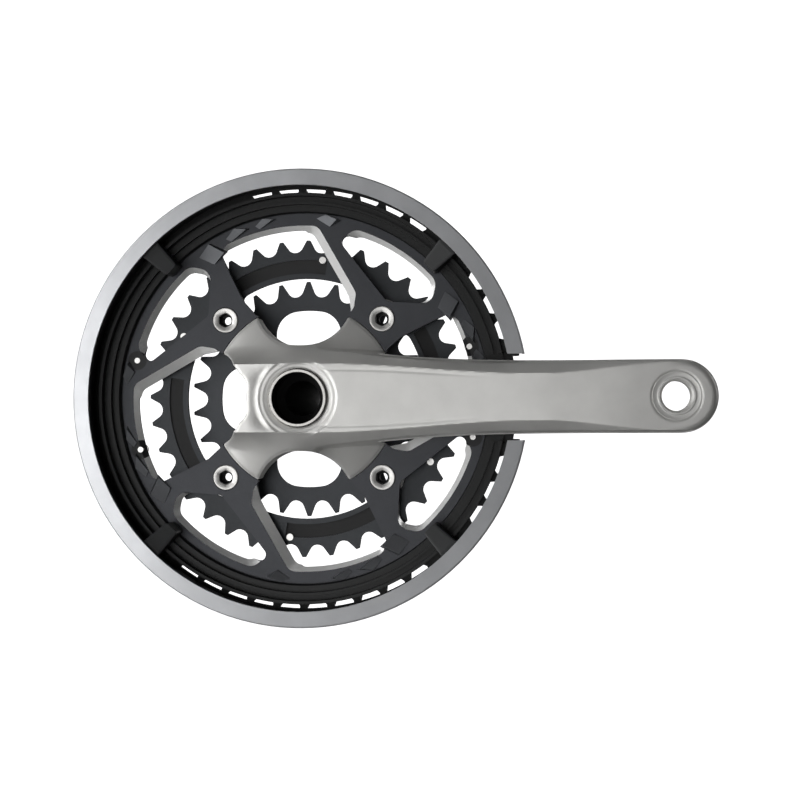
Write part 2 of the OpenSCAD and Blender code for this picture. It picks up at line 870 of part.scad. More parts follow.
module left_balls() {
  color("white") left_side() translate([0, 0, bearing_middle(left_cup_face)]) balls();
}

module right_cage() {
  color("tan") drive_side() translate([0, 0, bearing_middle(right_cup_face)]) cage();
}

module left_cage() {
  color("tan") left_side() translate([0, 0, bearing_middle(left_cup_face)]) cage();
}

module right_inner_cover() {
  color([0.1, 0.1, 0.1]) drive_side() inner_cover(right_cup_face);
}

module left_inner_cover() {
  color([0.1, 0.1, 0.1]) left_side() inner_cover(left_cup_face);
}

module right_seal() {
  color([0.15, 0.15, 0.15]) drive_side() seal(right_cup_face);
}

module left_seal() {
  color([0.15, 0.15, 0.15]) left_side() seal(left_cup_face);
}

crank_arm();
axle();
outer_chainring();
middle_chainring();
inner_chainring();
chainring_bolts();
chainring_sleeve_nuts();
inner_ring_bolts();
outer_shift_pins();
middle_shift_pins();
chain_drop_pin();
guard_carrier();
guard_band();
guard_screws();
right_cup();
left_cup();
right_spacers();
left_spacer();
inner_sleeve();
sleeve_o_rings();
right_outer_race();
left_outer_race();
right_inner_race();
left_inner_race();
right_balls();
left_balls();
right_cage();
left_cage();
right_inner_cover();
left_inner_cover();
right_seal();
left_seal();
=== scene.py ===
"""Drive-side bicycle crankset with chain guard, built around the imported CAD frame.

Shapes are drawn in millimetres as seen from the drive side: x to the right, y up and z out
of the drive side. placed() turns them into the row frame, in metres. The crank arm, the heads
of the chainring bolts and the pads round the outer chainring's rim are drawn here. Every other
piece is its CAD node with a finish.
"""
import json
import math

import bpy
import numpy as np
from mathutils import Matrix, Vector


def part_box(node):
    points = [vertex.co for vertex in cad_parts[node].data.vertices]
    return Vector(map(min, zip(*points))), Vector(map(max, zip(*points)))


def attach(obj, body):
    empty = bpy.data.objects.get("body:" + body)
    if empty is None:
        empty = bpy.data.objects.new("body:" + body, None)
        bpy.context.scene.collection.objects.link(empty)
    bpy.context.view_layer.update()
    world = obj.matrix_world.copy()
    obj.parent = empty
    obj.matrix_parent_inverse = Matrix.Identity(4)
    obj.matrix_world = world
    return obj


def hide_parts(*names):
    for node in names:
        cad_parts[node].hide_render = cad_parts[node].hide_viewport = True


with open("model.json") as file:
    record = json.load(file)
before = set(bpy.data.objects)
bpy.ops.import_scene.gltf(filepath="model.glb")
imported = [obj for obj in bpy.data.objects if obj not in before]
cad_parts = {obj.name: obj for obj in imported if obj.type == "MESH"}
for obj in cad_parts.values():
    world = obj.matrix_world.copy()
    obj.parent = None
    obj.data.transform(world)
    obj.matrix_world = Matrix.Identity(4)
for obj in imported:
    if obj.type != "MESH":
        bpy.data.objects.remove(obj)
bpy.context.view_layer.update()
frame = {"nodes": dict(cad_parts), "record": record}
nodes = frame["nodes"]

MM = 0.001


# ---- Sizes taken from the frame ---------------------------------------------------------

def outboard(node):
    """A node's innermost and outermost distance from the shell's middle, in mm."""
    low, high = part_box(node)
    return -high.y / MM, -low.y / MM


MOUNTS = {mount["name"]: mount for mount in frame["record"]["mounts"]}
CRANK_LENGTH = MOUNTS["pedal_thread"]["pos_m"][0] / MM
PEDAL_R = MOUNTS["pedal_thread"]["dims"]["r_mm"]
PEDAL_FACE = outboard("crank_arm")[1]
AXLE_FACE = outboard("axle")[1]
PLATE_BACK, PLATE_FACE = outboard("outer_chainring")
BOLT_FACE = outboard("chainring_bolts")[1]
MIDDLE_FRONT = outboard("middle_chainring")[1]
INNER_FRONT = outboard("inner_chainring")[1]

# Sizes that the frame's boxes don't give
AXLE_PROUD = 0.6
HUB_FACE = AXLE_FACE - AXLE_PROUD
SPIDER_BACK = 50.3
SPIDER_R = 43.5
AXLE_R = 12
AXLE_HEAD_R = 13.3
AXLE_GAP = 0.1
BOLT_CIRCLE_R = 52
BOLT_BOSS_R = 9.5
INNER_BOLT_CIRCLE_R = 32
INNER_BOLT_BOSS_R = 7
INNER_BOLT_HOLE_R = 4
OUTER_PIN_CIRCLE_R = 80.8
OUTER_PIN_ANGLES = (17, 167, 197, 347)


# ---- Helpers for shapes -----------------------------------------------------------------

def smooth(t):
    t = np.clip(t, 0, 1)
    return t * t * (3 - 2 * t)


def rise(x, start, length):
    """0 up to start, and 1 from a length beyond it."""
    return smooth((x - start) / length)


def fall(x, end, length):
    """1 up to a length before the end, and 0 from the end on."""
    return smooth((end - x) / length)


def mix(a, b, t):
    return a + (b - a) * t


def soft_max(a, b, width):
    """The larger of a and b, with the corner between them rounded over about width."""
    t = np.clip(0.5 + 0.5 * (a - b) / width, 0, 1)
    return mix(b, a, t) + width * t * (1 - t)


def rounding(inset, radius):
    """How far a rounded edge has dropped at a distance in from it."""
    u = np.clip(1 - inset / radius, 0, 1)
    return radius * (1 - np.sqrt(np.maximum(1 - u * u, 0)))


def diagonals(radius):
    """The four points on a circle at 45 degrees to the arm."""
    angles = [math.radians(a) for a in (45, 135, 225, 315)]
    return [(radius * math.cos(a), radius * math.sin(a)) for a in angles]


# Plan shapes are signed distances to an outline, positive inside.

def disc(x, y, cx, cy, r):
    return r - np.hypot(x - cx, y - cy)


def rounded_box(x, y, cx, half_x, half_y, r):
    """A box with rounded corners whose centre is on the arm's line."""
    dx = np.abs(x - cx) - half_x + r
    dy = np.abs(y) - half_y + r
    return r - np.hypot(np.maximum(dx, 0), np.maximum(dy, 0)) - np.minimum(np.maximum(dx, dy), 0)


def without(d, hole):
    """A plan shape with another one taken out of it."""
    return np.minimum(d, -hole)


# ---- A solid from a plan and two surfaces -----------------------------------------------

PROBE = 0.01
SNAP_SHARE = 0.35
SNAP_ROUNDS = 2


def gradient(plan, x, y):
    """The direction in which a plan's distance grows fastest."""
    gx = (plan(x + PROBE, y) - plan(x - PROBE, y)) / (2 * PROBE)
    gy = (plan(x, y + PROBE) - plan(x, y - PROBE)) / (2 * PROBE)
    size = np.maximum(np.hypot(gx, gy), 1e-6)
    return gx / size, gy / size


def placed(points):
    """Drive-side millimetres to the row frame in metres."""
    points = np.asarray(points, float)
    return np.column_stack([points[:, 0], -points[:, 2], points[:, 1]]) * MM


def plan_mesh(plan, low, high, step):
    """Polygons that fill the plan, with its rim on the outline. Returns points and faces."""
    nx = int(math.ceil((high[0] - low[0]) / step)) + 1
    ny = int(math.ceil((high[1] - low[1]) / step)) + 1
    x, y = np.meshgrid(low[0] + step * np.arange(nx), low[1] + step * np.arange(ny), indexing="ij")
    d = plan(x, y)
    # grid points close to the outline move onto it, so that no sliver is left beside it
    near = np.abs(d) < SNAP_SHARE * step
    for _ in range(SNAP_ROUNDS):
        gx, gy = gradient(plan, x[near], y[near])
        off = plan(x[near], y[near])
        x[near] -= off * gx
        y[near] -= off * gy
    d[near] = 0
    d = d.ravel()
    points = list(zip(x.ravel(), y.ravel()))
    crossing = {}

    def cut(a, b):
        """The point where the outline crosses a grid edge."""
        key = (a, b) if a < b else (b, a)
        if key not in crossing:
            t = d[key[0]] / (d[key[0]] - d[key[1]])
            start, end = points[key[0]], points[key[1]]
            crossing[key] = len(points)
            points.append((mix(start[0], end[0], t), mix(start[1], end[1], t)))
        return crossing[key]

    inside = d >= 0
    index = np.arange(nx * ny).reshape(nx, ny)
    around = (index[:-1, :-1], index[1:, :-1], index[1:, 1:], index[:-1, 1:])
    cells = np.stack(around, -1).reshape(-1, 4)
    count = inside[cells].sum(1)
    positive = (d[cells] > 0).any(1)
    faces = [tuple(cell) for cell in cells[(count == 4) & positive]]
    for cell in cells[(count > 0) & (count < 4) & positive]:
        loop = []
        for a, b in zip(cell, np.roll(cell, -1)):
            if inside[a]:
                loop.append(int(a))
            if d[a] * d[b] < 0:
                loop.append(cut(int(a), int(b)))
        if len(loop) > 2:
            faces.append(tuple(loop))
    used = sorted({i for face in faces for i in face})
    new = {old: i for i, old in enumerate(used)}
    return np.array([points[i] for i in used]), [tuple(new[i] for i in face) for face in faces]


def relief(plan, front, back, low, high, step, edge, rounds=2):
    """A closed solid over the plan, between two surfaces, with rounded rims.

    front and back are functions of x, y and the distance from the outline. edge is the radius
    of the rims' rounding, and rounds is the number of its steps. Returns points in drive-side
    millimetres and faces.
    """
    inner, faces = plan_mesh(lambda x, y: plan(x, y) - edge, low, high, step)
    sides = dict.fromkeys((a, b) for face in faces for a, b in zip(face, face[1:] + face[:1]))
    rim = [(a, b) for a, b in sides if (b, a) not in sides]
    on_rim = sorted({i for side in rim for i in side})
    x, y = inner[:, 0], inner[:, 1]
    depth = plan(x, y)
    top = front(x, y, depth)
    bottom = back(x, y, depth)
    gx, gy = gradient(plan, x[on_rim], y[on_rim])

    def ring(k, surface, way):
        """The rim's points after k steps of its rounding; way is 1 in front and -1 behind."""
        turn = k / rounds * math.pi / 2
        out = edge * math.sin(turn)
        drop = edge * (1 - math.cos(turn)) * way
        return np.column_stack([x[on_rim] - out * gx, y[on_rim] - out * gy, surface[on_rim] - drop])

    layers = [np.column_stack([x, y, top]), np.column_stack([x, y, bottom])]
    layers += [ring(k, top, 1) for k in range(1, rounds + 1)]
    layers += [ring(k, bottom, -1) for k in range(rounds, 0, -1)]
    first = 2 * len(x) + len(on_rim) * np.arange(2 * rounds)
    rings = [np.array(on_rim)]
    rings += [start + np.arange(len(on_rim)) for start in first]
    rings += [np.array(on_rim) + len(x)]
    where = {vertex: i for i, vertex in enumerate(on_rim)}
    skin = faces + [tuple(i + len(x) for i in reversed(face)) for face in faces]
    for upper, lower in zip(rings, rings[1:]):
        for a, b in rim:
            i, j = where[a], where[b]
            skin.append((upper[j], upper[i], lower[i], lower[j]))
    return np.vstack(layers), [tuple(int(i) for i in face) for face in skin]


def lathe(profile, centre, steps):
    """A closed profile of (radius, height) points turned round an axis along z."""
    points, faces = [], []
    for i in range(steps):
        a = 2 * math.pi * i / steps
        for r, z in profile:
            points.append((centre[0] + r * math.cos(a), centre[1] + r * math.sin(a), z))
    n = len(profile)
    for i in range(steps):
        a, b = i * n, (i + 1) % steps * n
        for j in range(n):
            k = (j + 1) % n
            faces.append((a + j, b + j, b + k, a + k))
    return np.array(points), faces


def piece(name, parts, body, replaced=(), crease=35):
    """One object from several (points, faces) shells, riding on a body."""
    points, faces = [], []
    count = 0
    for shell_points, shell_faces in parts:
        points.append(placed(shell_points))
        faces += [tuple(i + count for i in face) for face in shell_faces]
        count += len(shell_points)
    mesh = bpy.data.meshes.new(name)
    mesh.from_pydata(np.vstack(points).tolist(), [], faces)
    mesh.validate()
    obj = bpy.data.objects.new(name, mesh)
    bpy.context.scene.collection.objects.link(obj)
    for face in mesh.polygons:
        face.use_smooth = True
    mesh.set_sharp_from_angle(angle=math.radians(crease))
    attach(obj, body)
    if replaced:
        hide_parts(*replaced)
    return obj


# ---- Crank arm and spider: outlines -----------------------------------------------------

# The arm's outline flares out towards the hub and ends in a half circle past the pedal hole.
ARM_HALF = 16.4
ARM_FLARE = 7.4
ARM_FLARE_LENGTH = 48
ARM_FLARE_POWER = 1.6
ARM_FROM = -4
ARM_END = CRANK_LENGTH + 2.1
HUB_R = 23.2
BOSS_HOLE_R = 10.5

# Half the height of the arm's flat face: at the hub's ridges, at its waist and at its tip.
# Here and below, a pair is a stretch for rise() or fall(): its start or its end, and its length.
RIDGE = 15.6
WAIST = 10.6
FACE_TIP = 15.0
WAIST_X = 108
FACE_NARROWS = (12, 93)
FACE_WIDENS = (112, 56)

# The spider is a disc with a round gap on each side and a flat cut at its left.
GAP_R = 23
GAP_CENTRE = 47
LEFT_EDGE = -23.4
LEFT_CUT_HALF_X = 14.6
LEFT_CUT_HALF_Y = 12.5
LEFT_CUT_R = 8
JOIN_R = 1.5

# Each of its tabs carries a chainring bolt.
TAB_FROM = 36
BOLT_HOLE_R = 5


def arm_half(x):
    """Half height of the arm's outline."""
    return ARM_HALF + ARM_FLARE * np.exp(-(np.maximum(x, 0) / ARM_FLARE_LENGTH) ** ARM_FLARE_POWER)


def face_half(x):
    """Half height of its flat face."""
    root = mix(RIDGE, WAIST, rise(x, *FACE_NARROWS))
    tip = mix(WAIST, FACE_TIP, rise(x, *FACE_WIDENS))
    return np.where(x < WAIST_X, root, tip)


def spider_plan(x, y):
    d = disc(x, y, 0, 0, SPIDER_R)
    for cx, cy in ((GAP_CENTRE, 0), (0, GAP_CENTRE), (-GAP_CENTRE, 0), (0, -GAP_CENTRE)):
        d = without(d, disc(x, y, cx, cy, GAP_R))
    centre = LEFT_EDGE - LEFT_CUT_HALF_X
    return without(d, rounded_box(x, y, centre, LEFT_CUT_HALF_X, LEFT_CUT_HALF_Y, LEFT_CUT_R))


def arm_plan(x, y):
    body = np.minimum(arm_half(x) - np.abs(y), x - ARM_FROM)
    body = np.minimum(body, ARM_END - x)
    return np.maximum(body, disc(x, y, ARM_END, 0, ARM_HALF))


def crank_plan(x, y):
    """Arm, hub and spider in one, with holes for the axle and the pedal boss."""
    arm = np.maximum(arm_plan(x, y), disc(x, y, 0, 0, HUB_R))
    d = soft_max(spider_plan(x, y), arm, JOIN_R)
    d = without(d, disc(x, y, 0, 0, AXLE_HEAD_R + AXLE_GAP))
    return without(d, disc(x, y, CRANK_LENGTH, 0, BOSS_HOLE_R))


def tab_plan(x, y):
    """The spider's core with its four tabs."""
    d = spider_plan(x, y)
    for cx, cy in diagonals(BOLT_CIRCLE_R):
        a = math.atan2(cy, cx)
        along = x * math.cos(a) + y * math.sin(a)
        across = -x * math.sin(a) + y * math.cos(a)
        neck = np.minimum(along - TAB_FROM, BOLT_CIRCLE_R - along)
        neck = np.minimum(neck, BOLT_BOSS_R - np.abs(across))
        d = np.maximum(d, np.maximum(neck, disc(x, y, cx, cy, BOLT_BOSS_R)))
        d = without(d, disc(x, y, cx, cy, BOLT_HOLE_R))
    return without(d, disc(x, y, 0, 0, AXLE_R + AXLE_GAP))


# ---- Crank arm and spider: surfaces -----------------------------------------------------

# In these surfaces r is the distance from the axle and t the distance from the arm's line.

# The arm's face runs from the hub's height to just below the pedal boss.
FACE_BELOW_BOSS = 0.5
FACE_LENGTH = CRANK_LENGTH - 12

# A shallow seat round the axle has two steps: the radius, width and depth of each.
BOWL_R = 17.4
SEAT_STEPS = ((BOWL_R, 0.9, 0.55), (15.2, 0.7, 0.35))

# Left of the hub the ridges fall slowly and the shoulders beside them fast.
PAST_HUB = -6
PAST_HUB_POWER = 1.9
RIDGE_FALL = 0.004
SHOULDER_FALL = 0.021
SHOULDER = (RIDGE, 9)

# There the surface dips between the two ridges, and rises again at its left edge.
DISH_DEPTH = 1.9
DISH_BESIDE_RIDGE = (RIDGE + 0.5, 8)
DISH_ROUND_BOWL = (BOWL_R, 3.4)
DISH_STARTS = (PAST_HUB, 7)
DISH_ENDS = (-14, 10)

# A fine groove runs along each side of the face, further in at the hub.
GROOVE_DEPTH = 0.2
GROOVE_WIDTH = 0.42
GROOVE_INSET_HUB = 2.9
GROOVE_INSET_ARM = 1.9
GROOVE_MOVES_OUT = (0, 70)
GROOVE_STARTS = (7, 6)
GROOVE_ENDS = (96, 40)

# The bevels beside the face have these slopes, and grow steeper away from it and at the outline.
BEVEL_HUB = 0.8
BEVEL_ARM = 1.05
BEVEL_TIP = 0.55
BEVEL_CURVE = 0.035
BEVEL_STEEPENS = (8, 40)
BEVEL_EASES = (105, 50)
UNDERCUT = 4.5
UNDERCUT_WIDTH = 1.2
UNDERCUT_STARTS = (6, 8)

# The spider's arms slope down to the outer chainring's face.
SPIDER_TIP = PLATE_FACE + 0.3
SPIDER_SLOPE = 0.42
LEFT_TO_RIGHT = (-4, 20)
LEAST_SLANT = 0.2
LEAST_CLIMB = 2

# Rounded edges: the radius and how much of a full round is taken.
EDGE_INSET = 0.2
EDGE_ROUND = 1.2
EDGE_SHARE = 0.8
END_ROUND = 3.3
END_SHARE = 1.4
END_STARTS = (165, 15)

# Heights of the arm's back: at its root, at its middle, and near the pedal.
BACK_ROOT = SPIDER_BACK + 6
BACK_MIDDLE = 65.6
BACK_TIP = PEDAL_FACE - 14
MIDDLE_X = 60
TIP_LENGTH = 90
BACK_LEAVES_SPIDER = (SPIDER_R - 0.5, 2)
BACK_ROUND = 3.5
BACK_SHARE = 0.97
BACK_ROUND_STARTS = (44, 4)

# The spider's core ends below its slopes.
CORE_R = 43
CORE_FACE = PLATE_BACK - 0.5


def seat_depth(r):
    """How deep the seat round the axle is."""
    return sum(depth * (1 - rise(r, radius, width)) for radius, width, depth in SEAT_STEPS)


def dish_depth(x, t, r):
    """How deep the dish left of the axle is."""
    dish = DISH_DEPTH * fall(t, *DISH_BESIDE_RIDGE) * rise(r, *DISH_ROUND_BOWL) * fall(x, *DISH_STARTS)
    return dish * (1 - fall(x, *DISH_ENDS))


def groove_depth(x, t):
    """How deep the groove along the face is."""
    along = rise(x, *GROOVE_STARTS) * fall(x, *GROOVE_ENDS)
    inset = mix(GROOVE_INSET_HUB, GROOVE_INSET_ARM, rise(x, *GROOVE_MOVES_OUT))
    return GROOVE_DEPTH * along * np.exp(-((t - face_half(x) + inset) / GROOVE_WIDTH) ** 2)


def bevel_drop(x, t):
    """How far the surface has dropped beside the flat face, and close to the outline."""
    root = mix(BEVEL_HUB, BEVEL_ARM, rise(x, *BEVEL_STEEPENS))
    slope = mix(root, BEVEL_TIP, rise(x, *BEVEL_EASES))
    past = np.maximum(t - face_half(x), 0)
    under = UNDERCUT * np.maximum(t - arm_half(x) + UNDERCUT_WIDTH, 0) * rise(x, *UNDERCUT_STARTS)
    return slope * past + BEVEL_CURVE * past ** 2 + under


def crank_front(x, y, depth):
    """Height of the outer surface of arm, hub and spider."""
    r = np.hypot(x, y)
    t = np.abs(y)
    face = mix(HUB_FACE, PEDAL_FACE - FACE_BELOW_BOSS, rise(x, 0, FACE_LENGTH))
    past_hub = np.maximum(PAST_HUB - x, 0) ** PAST_HUB_POWER
    ridge = face - RIDGE_FALL * past_hub
    shoulder = face - mix(RIDGE_FALL, SHOULDER_FALL, rise(t, *SHOULDER)) * past_hub
    middle = ridge - dish_depth(x, t, r) - seat_depth(r)
    slope = SPIDER_TIP + SPIDER_SLOPE * np.maximum(SPIDER_R - r, 0)
    right = np.maximum(middle - groove_depth(x, t) - bevel_drop(x, t), slope)
    # left of the axle each shoulder runs down to the spider's rim as one plane
    foot = RIDGE / np.maximum(t / np.maximum(r, 1), LEAST_SLANT)
    climb = np.clip((SPIDER_R - r) / np.maximum(SPIDER_R - foot, LEAST_CLIMB), 0, 1)
    left = np.where(t > RIDGE, mix(SPIDER_TIP, shoulder, climb), middle)
    z = mix(left, right, rise(x, *LEFT_TO_RIGHT))
    # every edge is rounded a little, and the far end more
    z = z - EDGE_SHARE * rounding(depth - EDGE_INSET, EDGE_ROUND)
    return z - END_SHARE * rounding(arm_plan(x, y), END_ROUND) * rise(x, *END_STARTS)


def crank_back(x, y, depth):
    """Height of their back."""
    root = mix(BACK_ROOT, BACK_MIDDLE, rise(x, 0, MIDDLE_X))
    tip = mix(BACK_MIDDLE, BACK_TIP, rise(x, MIDDLE_X, TIP_LENGTH))
    arm = np.where(x < MIDDLE_X, root, tip)
    z = mix(SPIDER_BACK, arm, rise(np.hypot(x, y), *BACK_LEAVES_SPIDER))
    u = np.clip(1 - depth / BACK_ROUND, 0, 1)
    return z + BACK_ROUND * (1 - np.sqrt(1 - u * u * BACK_SHARE)) * rise(x, *BACK_ROUND_STARTS)


def tab_front(x, y, depth):
    return np.where(np.hypot(x, y) < CORE_R, CORE_FACE, PLATE_BACK)


def tab_back(x, y, depth):
    return np.full(x.shape, float(MIDDLE_FRONT))


# ---- Crank arm and spider: the piece ----------------------------------------------------

# The pedal boss, as radius and depth below its face: its front ring, its groove and its back.
BOSS_PROFILE = ((PEDAL_R, 1.2), (7.6, 0.25), (8.3, 0.25), (8.6, 0.6), (10.1, 0.65), (10.4, 0.5),
                (10.7, 0.5), (10.8, 1.5), (10.8, 13.6), (10.3, 14.2), (7.2, 14.2), (PEDAL_R, 13.6))
BOSS_STEPS = 96
LUG_STEPS = 40
LUG_SUNK = 1

# The grids that the two solids are cut from
ARM_FROM_TO = ((-46, -46), (192, 46))
ARM_GRID = 0.5
TAB_FROM_TO = ((-63, -63), (63, 63))
TAB_GRID = 0.9
RIM_R = 0.5


def below(profile, face):
    """A profile of (radius, depth) points as (radius, height) points under a face."""
    return [(r, face - depth) for r, depth in profile]


def inner_ring_lugs():
    """Hollow lugs behind the spider, which the inner chainring's bolts screw into."""
    hole, rim = INNER_BOLT_HOLE_R, INNER_BOLT_BOSS_R
    low, high = INNER_FRONT, SPIDER_BACK + LUG_SUNK
    profile = [(hole, low), (rim, low), (rim, high), (hole, high)]
    return [lathe(profile, centre, LUG_STEPS) for centre in diagonals(INNER_BOLT_CIRCLE_R)]


def make_crank():
    body = relief(crank_plan, crank_front, crank_back, *ARM_FROM_TO, ARM_GRID, RIM_R, rounds=3)
    tabs = relief(tab_plan, tab_front, tab_back, *TAB_FROM_TO, TAB_GRID, RIM_R)
    boss = lathe(below(BOSS_PROFILE, PEDAL_FACE), (CRANK_LENGTH, 0), BOSS_STEPS)
    shells = [body, tabs, boss] + inner_ring_lugs()
    return piece("crank_arm_forging", shells, "crank", ["crank_arm"])


# ---- Chainring bolts --------------------------------------------------------------------

# A bolt as radius and depth below its head: shank, rim, dished ring and socket. Radius 0 stands
# for the socket's six-sided wall.
BOLT_PROFILE = ((1.9, 9.6), (3.9, 9.6), (3.95, 1.5), (5.85, 1.5), (5.85, 0.3), (5.6, 0.05),
                (5.3, 0), (3.5, 0.55), (0, 0.7), (0, 5.4), (1.9, 5.6))
BOLT_STEPS = 72
SOCKET_HALF = 2.8


def hex_radius(half_across, angle):
    """Distance from a hexagon's middle to its outline at an angle."""
    turn = (angle + math.pi / 6) % (math.pi / 3) - math.pi / 6
    return half_across / math.cos(turn)


def bolt(centre):
    """A dished bolt head with a hexagonal socket, open through the shank."""
    points, faces = lathe(below(BOLT_PROFILE, BOLT_FACE), (0, 0), BOLT_STEPS)
    for i, point in enumerate(points):
        if BOLT_PROFILE[i % len(BOLT_PROFILE)][0] == 0:
            angle = 2 * math.pi * (i // len(BOLT_PROFILE)) / BOLT_STEPS
            r = hex_radius(SOCKET_HALF, angle)
            point[:2] = r * math.cos(angle), r * math.sin(angle)
    points[:, :2] += centre
    return points, faces


def make_bolts():
    shells = [bolt(centre) for centre in diagonals(BOLT_CIRCLE_R)]
    return piece("chainring_bolt_set", shells, "crank", ["chainring_bolts"], crease=30)


# ---- Pads round the outer chainring's rim -----------------------------------------------

# Each wedge's corners as angle and radius, and the height of its crest. The four wedges repeat
# in every quarter of the rim.
RIM_PADS = (
    dict(foot=(126.6, 82.4), outer=(121.6, 84.8), crest=(118.4, 77.4), inner=(123.6, 75.4), height=2.6),
    dict(foot=(116.0, 83.0), outer=(112.2, 85.9), crest=(108.6, 83.4), inner=(114.6, 80.8), height=2.0),
    dict(foot=(105.6, 83.5), outer=(102.7, 86.0), crest=(99.6, 84.6), inner=(104.4, 81.6), height=1.8),
    dict(foot=(85.6, 84.0), outer=(82.7, 86.0), crest=(79.0, 84.5), inner=(81.0, 80.8), height=2.6),
)
PAD_DROP = 1.2
PAD_FOOT = 0.1
PAD_END = 0.05
PAD_OUTER_SHARE = 0.55
PAD_INNER_SHARE = 0.4
PAD_SUNK = -0.2


def rim_pad(foot, outer, crest, inner, height, quarter):
    """One wedge: it rises clockwise from its foot to its crest and then drops."""
    past_outer = (outer[0] - PAD_DROP / 2, outer[1])
    past_crest = (crest[0] - PAD_DROP, crest[1])
    rim = ((foot, PAD_FOOT), (outer, PAD_OUTER_SHARE * height), (past_outer, PAD_END),
           (past_crest, PAD_END), (inner, PAD_INNER_SHARE * height))
    sunk = tuple((corner, PAD_SUNK) for corner, _ in rim)
    points = []
    for (angle, r), top in rim + ((crest, height),) + sunk:
        a = math.radians(angle + 90 * quarter)
        points.append((r * math.cos(a), r * math.sin(a), PLATE_FACE + top))
    # points 0 to 4 go round the rim, 5 is the crest, and 6 to 10 are the rim below the plate
    faces = [(5, 1, 0), (4, 5, 0), (5, 3, 2, 1), (4, 3, 5), (6, 7, 8, 9, 10)]
    faces += [(k, (k + 1) % 5, 6 + (k + 1) % 5, 6 + k) for k in range(5)]
    return np.array(points), faces


def make_pads():
    shells = [rim_pad(quarter=quarter, **pad) for quarter in range(4) for pad in RIM_PADS]
    return piece("outer_ring_rim_pads", shells, "crank", crease=20)


crank = make_crank()
pads = make_pads()
bolts = make_bolts()


# ---- Materials --------------------------------------------------------------------------

# The fine noise makes a surface's grain, and the broad one its patches.
FINE_NOISE = dict(detail=6, roughness=0.65)
BROAD_NOISE = dict(detail=3, roughness=0.5)
PATCH_TO_GRAIN = 25
NOISE_LOW = 0.3
NOISE_HIGH = 0.7
GRAIN_DEPTH = 0.3
BLACK = (0, 0, 0)
WHITE = (1, 1, 1)


def material(name):
    m = bpy.data.materials.new(name)
    m.use_nodes = True
    return m, m.node_tree.nodes, m.node_tree.links, m.node_tree.nodes["Principled BSDF"]


def noise(ns, links, scale, detail, roughness=0.6):
    where = ns.new("ShaderNodeTexCoord")
    n = ns.new("ShaderNodeTexNoise")
    n.inputs["Scale"].default_value = scale
    n.inputs["Detail"].default_value = detail
    n.inputs["Roughness"].default_value = roughness
    links.new(where.outputs["Object"], n.inputs["Vector"])
    return n.outputs["Fac"]


def ramp(ns, links, source, stops):
    """A colour ramp with a stop at each (position, colour)."""
    r = ns.new("ShaderNodeValToRGB")
    elements = r.color_ramp.elements
    while len(elements) < len(stops):
        elements.new(0.5)
    for element, (at, colour) in zip(elements, stops):
        element.position = at
        element.color = (*colour, 1)
    links.new(source, r.inputs["Fac"])
    return r.outputs["Color"]


def varied(ns, links, source, low, high):
    """A colour that noise varies from one to another."""
    return ramp(ns, links, source, [(NOISE_LOW, low), (NOISE_HIGH, high)])


def grey(value):
    return (value, value, value)


def finish_material(name, base, metallic, roughness, grain, bump=0.02, spread=0.06, rough_spread=0.08,
                    specular=0.5):
    """Base colour, roughness and a fine bump, each varied by noise."""
    m, ns, links, bsdf = material(name)
    fine = noise(ns, links, grain, **FINE_NOISE)
    broad = noise(ns, links, grain / PATCH_TO_GRAIN, **BROAD_NOISE)
    dark = [c * (1 - spread) for c in base]
    light = [min(c * (1 + spread), 1) for c in base]
    smoothest = grey(roughness - rough_spread)
    roughest = grey(roughness + rough_spread)
    links.new(varied(ns, links, broad, dark, light), bsdf.inputs["Base Color"])
    links.new(varied(ns, links, fine, smoothest, roughest), bsdf.inputs["Roughness"])
    relief_node = ns.new("ShaderNodeBump")
    relief_node.inputs["Strength"].default_value = bump
    relief_node.inputs["Distance"].default_value = GRAIN_DEPTH * MM
    links.new(fine, relief_node.inputs["Height"])
    links.new(relief_node.outputs["Normal"], bsdf.inputs["Normal"])
    bsdf.inputs["Metallic"].default_value = metallic
    bsdf.inputs["Specular IOR Level"].default_value = specular
    return m


